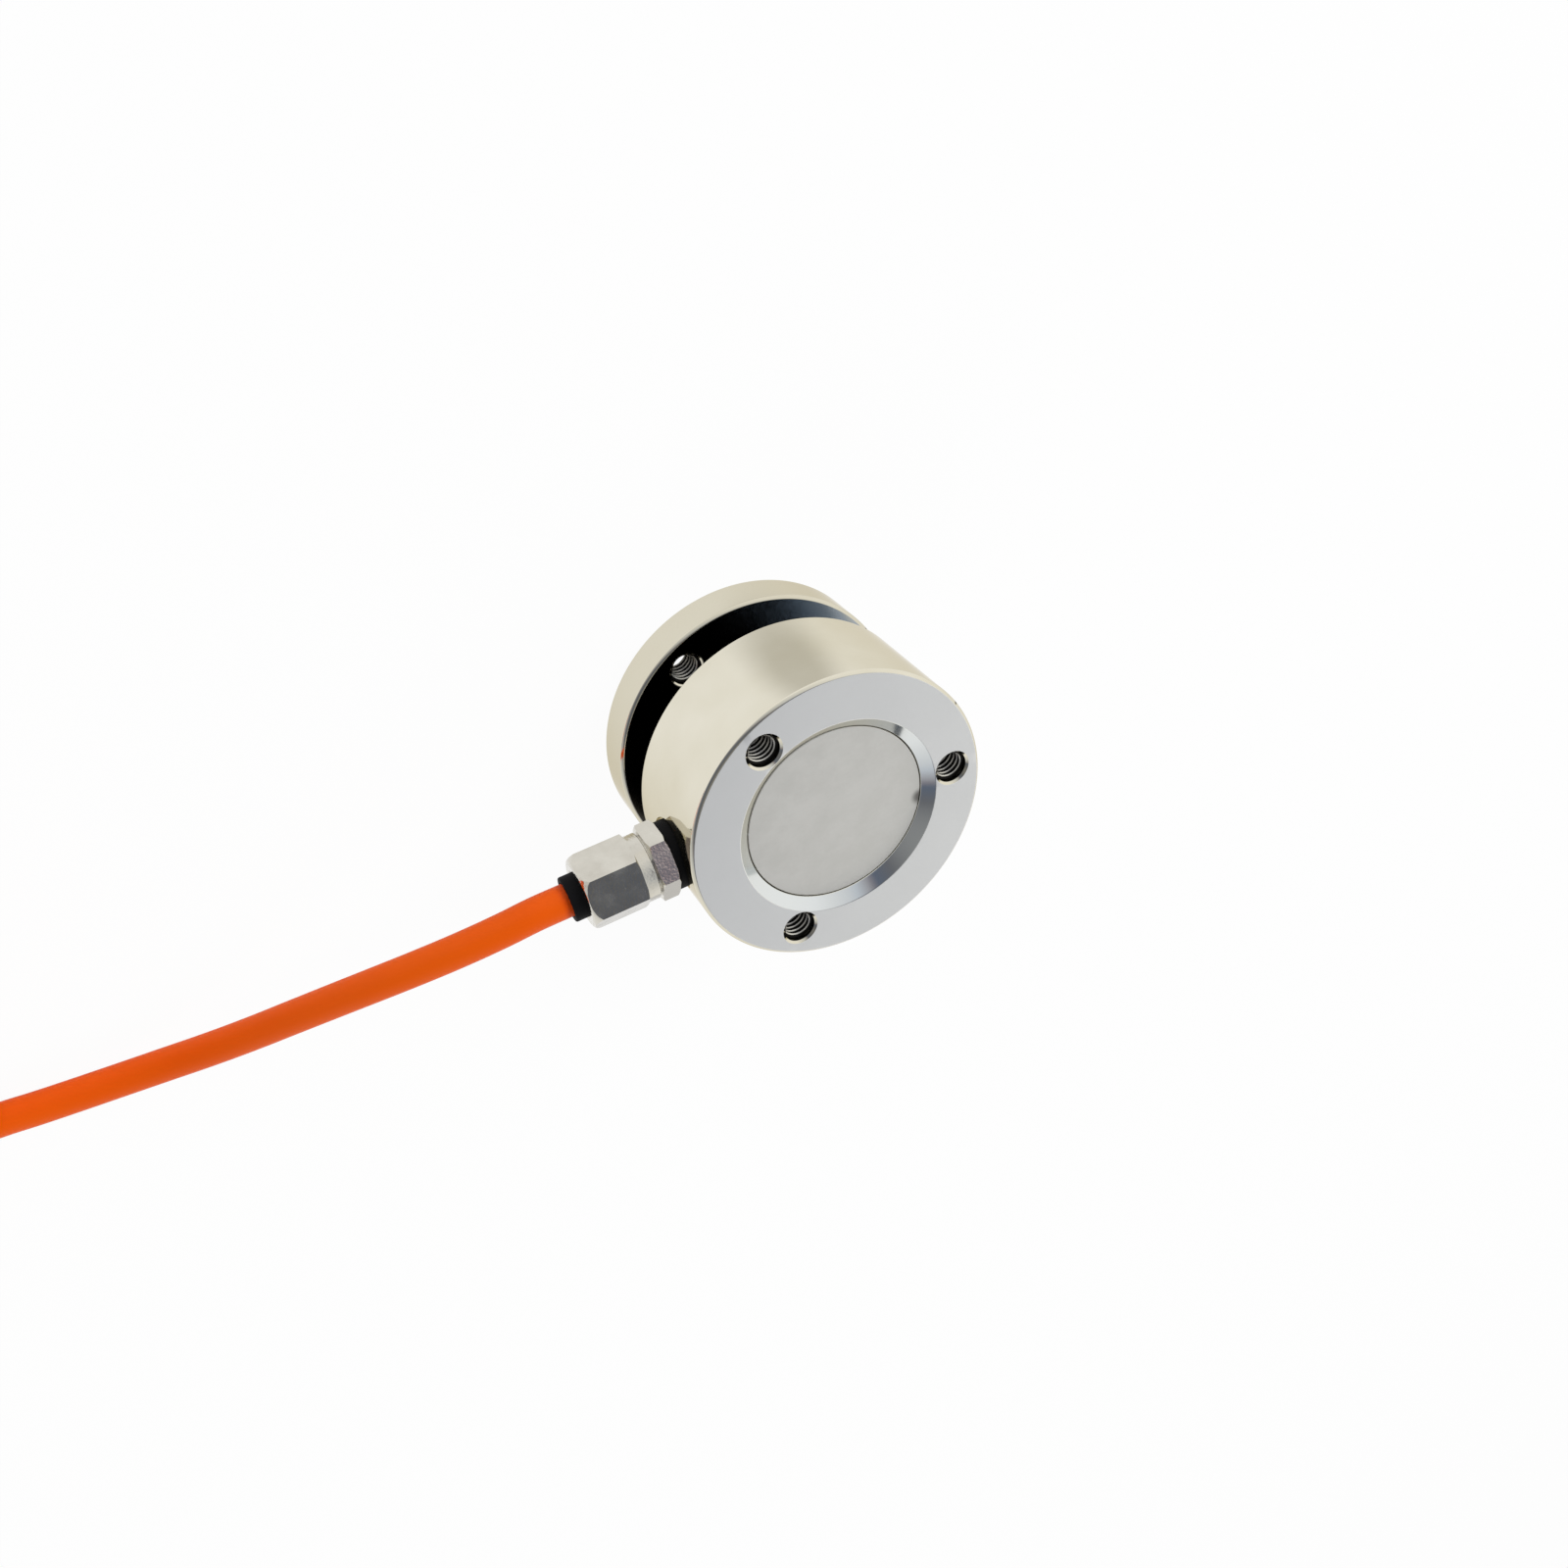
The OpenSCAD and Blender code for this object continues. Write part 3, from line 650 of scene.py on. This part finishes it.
# %% Rubber
def black_rubber():
    shader = Shader("black_rubber")
    vector, _ = shader.place()
    grain = shader.noise(vector, 2200.0, 3.0)
    patch = shader.noise(vector, 260.0, 2.0)
    tint = shader.mix(patch, (0.004, 0.004, 0.0045), (0.010, 0.010, 0.011))
    relief = shader.bump(grain, 0.3, 0.03 * MM)
    return shader.surface(Base_Color=tint, Roughness=0.55 + patch * 0.2, Normal=relief,
                          Specular_IOR_Level=0.08)


RUBBER = black_rubber()

# %% Gasket and seal
GASKET_R = 4.2 * MM
gasket = turned([
    (PORT_R, GASKET_X), (GASKET_R, GASKET_X), (GASKET_R, BASE_X), (PORT_R, BASE_X),
    (PORT_R, GASKET_X),
], steps=128, corner=0.2 * MM)
lay_on_gland(gasket, 0)
keep(gasket, "gland_gasket_piece", "black_rubber", RUBBER, ["gland_gasket"])

SEAL_BORE_R = CABLE_R + 0.05 * MM
seal = turned([
    (SEAL_BORE_R, SEAL_IN_X), (SEAL_R, SEAL_IN_X), (SEAL_R, THREAD_END_X), (3.45 * MM, THREAD_END_X),
    (3.45 * MM, THREAD_END_X + 0.5 * MM), (SEAL_R, THREAD_END_X + 0.5 * MM), (SEAL_R, SEAL_END_X),
    (SEAL_BORE_R, SEAL_END_X), (SEAL_BORE_R, SEAL_IN_X),
], steps=128, corner=0.18 * MM)
lay_on_gland(seal, 0)
keep(seal, "gland_seal_piece", "black_rubber", RUBBER, ["gland_seal"])


# %% [markdown]
# The cover is a thin steel disc glued into the recess. It looks matt and a little blotchy beside the
# nickel, with faint brushing. Its own dark edge comes from the gap that the glue doesn't fill. One
# dark smudge and one speck of glue at its edge are as in the photograph.

# %% Cover
SMUDGE = (-11.0 * MM, 2.9 * MM)
SPECK = (11.15 * MM, -2.45 * MM)


def cover_steel():
    shader = Shader("cover_steel")
    vector, (x, y, z) = shader.place()
    cloud = shader.noise(vector, 230.0, 5.0, 0.6).above(0.3, 0.4)
    stretched = shader.node("Mapping", None, {"Vector": vector, "Scale": (160.0, 2600.0, 900.0)})
    brush = shader.noise(stretched, 1.0, 3.0, 0.6)
    fine = shader.noise(vector, 3200.0, 2.0)
    tint = shader.mix(cloud, (0.75, 0.74, 0.695), (0.89, 0.88, 0.84))
    tint = shader.mix(brush * 0.4, tint, (0.80, 0.79, 0.75))
    smudge = flat_distance(x, y, SMUDGE).below(0.3 * MM, 1.1 * MM)
    tint = shader.mix(smudge * 0.8, tint, (0.12, 0.11, 0.10))
    speck = flat_distance(x, y, SPECK).below(0.12 * MM, 0.12 * MM)
    tint = shader.mix(speck, tint, (0.93, 0.93, 0.92))
    roughness = 0.42 + cloud * 0.14 + fine * 0.05
    relief = shader.bump(brush * 0.5 + fine * 0.5, 0.12, 0.02 * MM)
    return shader.surface(Base_Color=tint, Metallic=1.0, Roughness=roughness, Normal=relief)


COVER_STEEL = cover_steel()
cover = turned([(0, COVER_LOW), (COVER_R, COVER_LOW), (COVER_R, COVER_TOP), (0, COVER_TOP)],
               steps=256, corner=0.12 * MM)
keep(cover, "cover_disc", "cover_steel", COVER_STEEL, ["cover_plate"])
print("cover faces:", len(cover.data.polygons))

# %% [markdown]
# The cable leaves the gland straight, sags to the floor and runs on in a slow curve. Two metres is
# usual for such a cell and the photograph shows only the first part, so the rest lies in a coil
# outside the picture. The coil is wound in four layers of three turns, in and out by turns, and each
# step up to the next layer is made slowly over a third of a turn. The smooth line through these
# points is a Bezier curve with automatic handles, and its bevel gives it the cable's thickness.

# %% Route of the cable
CABLE_D = 4.0 * MM
RUN = [
    (32.2, 0, 20.05), (36, 0, 20.05), (40, 0.6, 19.6), (45, 1.5, 18.6), (50, 2.6, 17.1),
    (55, 3.9, 15.2), (60, 5.5, 12.9), (65, 7.2, 10.5), (70, 8.9, 8.1), (75, 10.2, 6.0),
    (80, 11.1, 4.2), (85, 11.5, 3.0), (90, 11.4, 2.4), (95, 11.0, 2.1), (99, 10.4, 2.1),
    (103, 10.1, 2.2), (107.5, 10.2, 2.5), (112, 10.8, 2.5), (116.5, 11.75, 2.5), (121, 12.55, 2.5),
]
COIL_CENTRE = (128.0, -16.0)
COIL_START = 95.0
COIL_TOP, COIL_EDGE = 16.5, 31.0
COIL_OUT, COIL_IN, COIL_LOW, LAYER_STEP = 29.0, 17.0, 2.5, 4.0
LAYERS, TURNS_IN_LAYER, STEP_TURN = 4, 3, 1 / 3
POINTS_PER_TURN = 18


def coil_points():
    """Points of the coil in millimetres, clockwise and from the floor up."""
    points, turned_by = [], 0.0
    for layer in range(LAYERS):
        start, end = (COIL_OUT, COIL_IN) if layer % 2 == 0 else (COIL_IN, COIL_OUT)
        count = TURNS_IN_LAYER * POINTS_PER_TURN
        for i in range(count):
            points.append((turned_by + i / POINTS_PER_TURN, start + (end - start) * i / count,
                           COIL_LOW + LAYER_STEP * layer))
        turned_by += TURNS_IN_LAYER
        count = int(STEP_TURN * POINTS_PER_TURN) if layer < LAYERS - 1 else 1
        for i in range(count):
            rise = 0.5 - 0.5 * math.cos(math.pi * i / count)
            points.append((turned_by + i / POINTS_PER_TURN, end,
                           COIL_LOW + LAYER_STEP * (layer + rise)))
        turned_by += STEP_TURN if layer < LAYERS - 1 else 0
    placed = []
    for turns, radius, z in points:
        angle = math.radians(COIL_START - 360 * turns)
        placed.append((COIL_CENTRE[0] + radius * math.cos(angle),
                       COIL_CENTRE[1] + radius * math.sin(angle), z))
    return placed


def round_coil(angle, inset, height):
    """A point by its angle, its distance in from the coil's edge and its height above the coil."""
    angle, radius = math.radians(angle), COIL_EDGE - inset
    return (COIL_CENTRE[0] + radius * math.cos(angle), COIL_CENTRE[1] + radius * math.sin(angle),
            COIL_TOP + height)


RISE = [(85, 1.9, -1.9), (75, 1.7, -1.5), (65, 1.6, -0.8), (55, 1.6, 0.2), (45, 1.9, 1.2)]
FREE_END = [
    (35, 2.4, 2.02), (28.7, 2.5, 2.02), (22.4, 2.81, 2.02), (16, 3.31, 2.02), (9.6, 4.01, 2.02),
    (3.1, 4.89, 2.02), (-3.5, 5.96, 2.02), (-10.3, 7.19, 2.02), (-20.8, 9.33, 2.3),
    (-25.7, 10.23, 2.5), (-30.9, 10.97, 2.5),
]
free_end = [round_coil(*p) for p in FREE_END]
route = [Vector(p) * MM for p in RUN + coil_points() + [round_coil(*p) for p in RISE] + free_end]


# %% [markdown]
# The jacket is smooth orange polyurethane: a saturated colour with a soft, wide sheen. It gets
# slow changes of tone, a faint grain, and a slightly deeper red next to the seal as painted shade.

# %% Jacket
def orange_jacket():
    shader = Shader("orange_jacket")
    vector, (x, y, z) = shader.place()
    slow = shader.noise(vector, 70.0, 2.0)
    grain = shader.noise(vector, 1800.0, 3.0)
    tint = shader.mix(slow, (0.89, 0.104, 0.001), (0.93, 0.128, 0.002))
    # painted shade: a deeper red next to the seal
    seal_painted_shade = x.below(32.6 * MM, 0.8 * MM)
    tint = shader.mix(seal_painted_shade * 0.5, tint, (0.62, 0.05, 0.002))
    relief = shader.bump(grain, 0.10, 0.02 * MM)
    return shader.surface(Base_Color=tint, Roughness=0.46 + slow * 0.08, Normal=relief,
                          Specular_IOR_Level=0.14)


ORANGE = orange_jacket()


# %% Curves with a thickness
def strand(name, points, thickness, smooth_steps=4, roundness=6):
    """A round strand on a smooth curve through the points, with closed ends."""
    deselect()
    bpy.ops.curve.primitive_bezier_curve_add(radius=MM)
    piece = bpy.context.object
    piece.name = name
    piece.data.name = name
    spline = piece.data.splines[0]
    spline.bezier_points.add(len(points) - len(spline.bezier_points))
    for knot, point in zip(spline.bezier_points, points):
        knot.co = point
        knot.handle_left_type = knot.handle_right_type = "AUTO"
    piece.data.dimensions = "3D"
    piece.data.resolution_u = smooth_steps
    piece.data.bevel_depth = thickness / 2
    piece.data.bevel_resolution = roundness
    piece.data.use_fill_caps = True
    piece.location = (0, 0, 0)
    return piece


# %% Cable
cable = strand("orange_cable", route, CABLE_D)
bpy.context.view_layer.update()


# %% [markdown]
# The far end is bare, as such a cable is sold: a shrink sleeve over the cut jacket, four thin leads in
# the bridge's colours and the screen's lead. Their ends are tinned. Each lead is a curve of its own.

# %% Insulation
def insulation(name, dark, light, gloss=0.38):
    shader = Shader(name)
    vector, _ = shader.place()
    slow = shader.noise(vector, 300.0, 2.0)
    grain = shader.noise(vector, 2600.0, 2.0)
    tint = shader.mix(slow, dark, light)
    relief = shader.bump(grain, 0.08, 0.02 * MM)
    return shader.surface(Base_Color=tint, Roughness=gloss + slow * 0.1, Normal=relief)


INSULATIONS = {
    "red": insulation("red_insulation", (0.50, 0.015, 0.012), (0.60, 0.028, 0.022)),
    "green": insulation("green_insulation", (0.016, 0.26, 0.05), (0.03, 0.34, 0.085)),
    "white": insulation("white_insulation", (0.70, 0.70, 0.68), (0.80, 0.80, 0.78)),
    "black": insulation("black_insulation", (0.012, 0.012, 0.013), (0.022, 0.022, 0.023)),
    "grey": insulation("grey_insulation", (0.27, 0.27, 0.27), (0.34, 0.34, 0.34)),
}

# %% Leads
SLEEVE_L = 14.0 * MM
tail_end, before_end = route[-1], route[-2]
SLEEVE_TURN = math.atan2(tail_end.y - before_end.y, tail_end.x - before_end.x)
OUTER = [(0, 0.6, 3.1), (1.5, 0.6, 3.1), (4, 1.1, 2.8), (6.5, 1.9, 1.9), (9.5, 2.9, 0.9),
         (12.5, 3.7, 0.57), (15.5, 4.1, 0.57), (18, 4.2, 0.57)]
INNER = [(0, 0.6, 1.9), (1.5, 0.6, 1.9), (4, 0.8, 1.5), (6.5, 1.2, 0.85), (9.5, 1.7, 0.57),
         (13, 1.9, 0.57), (16.5, 1.9, 0.57)]
SCREEN = [(0, 0, 0.85), (1.5, 0, 0.85), (4, 0, 0.62), (8, 0, 0.57), (12, 0, 0.57), (15, 0, 0.57)]
LEAD_CURL, LEAD_STRAIGHT = 0.018, 1.5
LEAD_D = 1.1 * MM


def on_tail(x, y, z):
    """A point measured from the sleeve's far end: along the sleeve, across it and up from the coil."""
    along, across = math.cos(SLEEVE_TURN), math.sin(SLEEVE_TURN)
    reach = x * MM + SLEEVE_L
    side = (y - LEAD_CURL * max(x - LEAD_STRAIGHT, 0) ** 2) * MM
    return Vector((tail_end.x + reach * along - side * across,
                   tail_end.y + reach * across + side * along, (COIL_TOP + z) * MM))


leads = []
for node, tone, shape, side in (("lead_red", "red", OUTER, 1), ("lead_green", "green", INNER, 1),
                                ("lead_white", "white", INNER, -1), ("lead_black", "black", OUTER, -1),
                                ("shield_lead", "grey", SCREEN, 1)):
    lead = strand(node + "_strand", [on_tail(x, side * y, z) for x, y, z in shape], LEAD_D, 6, 4)
    keep(lead, node + "_strand", tone + "_insulation", INSULATIONS[tone], [node])
    leads.append(lead)


# %% Sleeve
def black_tie():
    shader = Shader("black_nylon")
    vector, _ = shader.place()
    grain = shader.noise(vector, 1700.0, 3.0)
    slow = shader.noise(vector, 180.0, 2.0)
    tint = shader.mix(slow, (0.015, 0.015, 0.016), (0.03, 0.03, 0.031))
    relief = shader.bump(grain + slow, 0.25, 0.04 * MM)
    return shader.surface(Base_Color=tint, Roughness=0.38 + slow * 0.15, Normal=relief)


BLACK_TIE = black_tie()
SLEEVE_R = 2.4 * MM
sleeve = turned([
    (0, 0), (SLEEVE_R - 0.3 * MM, 0), (SLEEVE_R, 0.6 * MM), (SLEEVE_R - 0.06 * MM, 3.2 * MM),
    (SLEEVE_R, 5.0 * MM), (SLEEVE_R - 0.08 * MM, 8.4 * MM), (SLEEVE_R - 0.02 * MM, 11.0 * MM),
    (SLEEVE_R, SLEEVE_L - 0.6 * MM), (SLEEVE_R - 0.3 * MM, SLEEVE_L), (0, SLEEVE_L),
], steps=64, corner=0.1 * MM)
move(sleeve, (0, 0, 0), (0, math.pi / 2, 0))
move(sleeve, tail_end, (0, 0, SLEEVE_TURN))
keep(sleeve, "shrink_sleeve", "black_tie", BLACK_TIE, ["end_sleeve"], smooth=50)

# %% [markdown]
# Each tie is a flat black strap round the coil's section, with its lock on the outer side. It starts
# as a cube of the section's size: the upright edges are rounded, the two end faces go, and Solidify
# gives the strap its thickness.

# %% Coil ties
TIE_T = 0.5 * MM
COIL_MID, COIL_SECTION = 23.0 * MM, 16.0 * MM
TIE_WIDTH = 3.4 * MM


def tie(number, place_angle):
    size = COIL_SECTION + 2 * TIE_T
    deselect()
    bpy.ops.mesh.primitive_cube_add(size=1.0)
    strap = bpy.context.object
    strap.scale = (size, TIE_WIDTH, size)
    bpy.ops.object.transform_apply(location=True, rotation=True, scale=True)
    bpy.ops.object.mode_set(mode="EDIT")
    bpy.ops.mesh.select_all(action="DESELECT")
    bpy.ops.mesh.select_mode(type="EDGE")
    bpy.ops.object.mode_set(mode="OBJECT")
    for edge in strap.data.edges:
        a, b = (strap.data.vertices[i].co for i in edge.vertices)
        edge.select = abs(a.y - b.y) > TIE_WIDTH / 2
    bpy.ops.object.mode_set(mode="EDIT")
    bpy.ops.mesh.bevel(offset=2.5 * MM, segments=8, affect="EDGES")
    bpy.ops.mesh.select_all(action="DESELECT")
    bpy.ops.mesh.select_mode(type="FACE")
    bpy.ops.object.mode_set(mode="OBJECT")
    for face in strap.data.polygons:
        face.select = abs(face.normal.y) > 0.9
    bpy.ops.object.mode_set(mode="EDIT")
    bpy.ops.mesh.delete(type="FACE")
    bpy.ops.mesh.select_mode(type="VERT")
    bpy.ops.object.mode_set(mode="OBJECT")
    bpy.ops.object.modifier_add(type="SOLIDIFY")
    wall = strap.modifiers[-1]
    wall.thickness = TIE_T * 0.9
    wall.offset = -1.0
    bpy.ops.object.modifier_apply(modifier=wall.name)
    soften(strap, 0.12 * MM, 40)
    deselect()
    bpy.ops.mesh.primitive_cube_add(size=1.0)
    lock = bpy.context.object
    lock.scale = (2.0 * MM, 4.6 * MM, 4.4 * MM)
    move(lock, (size / 2 + 0.2 * MM, 0, 0))
    soften(lock, 0.35 * MM, 40, 3)
    combine(strap, lock, "UNION")
    angle = math.radians(place_angle)
    move(strap, (COIL_MID, 0, 0))
    move(strap, (COIL_CENTRE[0] * MM, COIL_CENTRE[1] * MM, TIE_T + COIL_SECTION / 2), (0, 0, angle))
    keep(strap, f"coil_tie_strap_{number}", "black_tie", BLACK_TIE, [f"coil_tie_{number}"])
    print("strap faces:", len(strap.data.polygons))
    return strap


ties = [tie(1, 140), tie(2, 215)]

keep(cable, "orange_cable", "orange_jacket", ORANGE, ["cable_run", "cable_coil", "cable_tail"])
ties + [sleeve] + leads + [frame["nodes"]["lead_tips"]]
frame["nodes"]["cable_entry"].data.materials.clear()
frame["nodes"]["cable_entry"].data.materials.append(ORANGE)

# %% [markdown]
# The bridge lies closed in under the cover and no one sees it, but it is part of the model. Its CAD
# shapes are right as they are, so each keeps its own solid and gets a finish of its own.

# %% Finishes inside
def simple(name, dark, light, rough, metal=0.0, scale=900.0):
    shader = Shader(name)
    vector, _ = shader.place()
    cloud = shader.noise(vector, scale, 3.0)
    tint = shader.mix(cloud, dark, light)
    relief = shader.bump(cloud, 0.12, 0.02 * MM)
    return shader.surface(Base_Color=tint, Metallic=metal, Roughness=rough + cloud * 0.1,
                          Normal=relief)


def gauge_foil():
    """Amber film with a fine metal grid: dark lines where the grid runs."""
    shader = Shader("gauge_foil")
    vector, (x, y, z) = shader.place()
    radius = (x * x + y * y).math("SQRT")
    lines = (radius * (2 * math.pi / (0.3 * MM))).math("SINE").above(0.1, 0.2)
    tint = shader.mix(lines, (0.62, 0.28, 0.05), (0.42, 0.36, 0.28))
    return shader.surface(Base_Color=tint, Roughness=0.3 + lines * 0.1)


SOLDER = simple("tinned_metal", (0.62, 0.62, 0.62), (0.76, 0.76, 0.75), 0.26, 1.0)
INNER_FINISHES = {
    "adhesive": simple("adhesive", (0.08, 0.08, 0.08), (0.12, 0.12, 0.115), 0.6),
    "gauge_foil": gauge_foil(),
    "enamelled_wire": simple("enamelled_wire", (0.38, 0.08, 0.025), (0.5, 0.12, 0.035), 0.25),
    "circuit_board": simple("circuit_board", (0.02, 0.14, 0.045), (0.035, 0.2, 0.07), 0.35),
    "solder": SOLDER,
    "chip_ceramic": simple("chip_ceramic", (0.03, 0.03, 0.032), (0.05, 0.05, 0.05), 0.45),
    "red_insulation": INSULATIONS["red"],
    "green_insulation": INSULATIONS["green"],
    "white_insulation": INSULATIONS["white"],
    "black_insulation": INSULATIONS["black"],
}
dressed = 0
for part in frame["record"]["subparts"]:
    node, slot = part["node"], part["material_slot"]
    if slot in INNER_FINISHES and not frame["nodes"][node].hide_render:
        frame["nodes"][node].data.materials.clear()
        frame["nodes"][node].data.materials.append(INNER_FINISHES[slot])
        dressed += 1
print("CAD nodes with a new finish:", dressed)
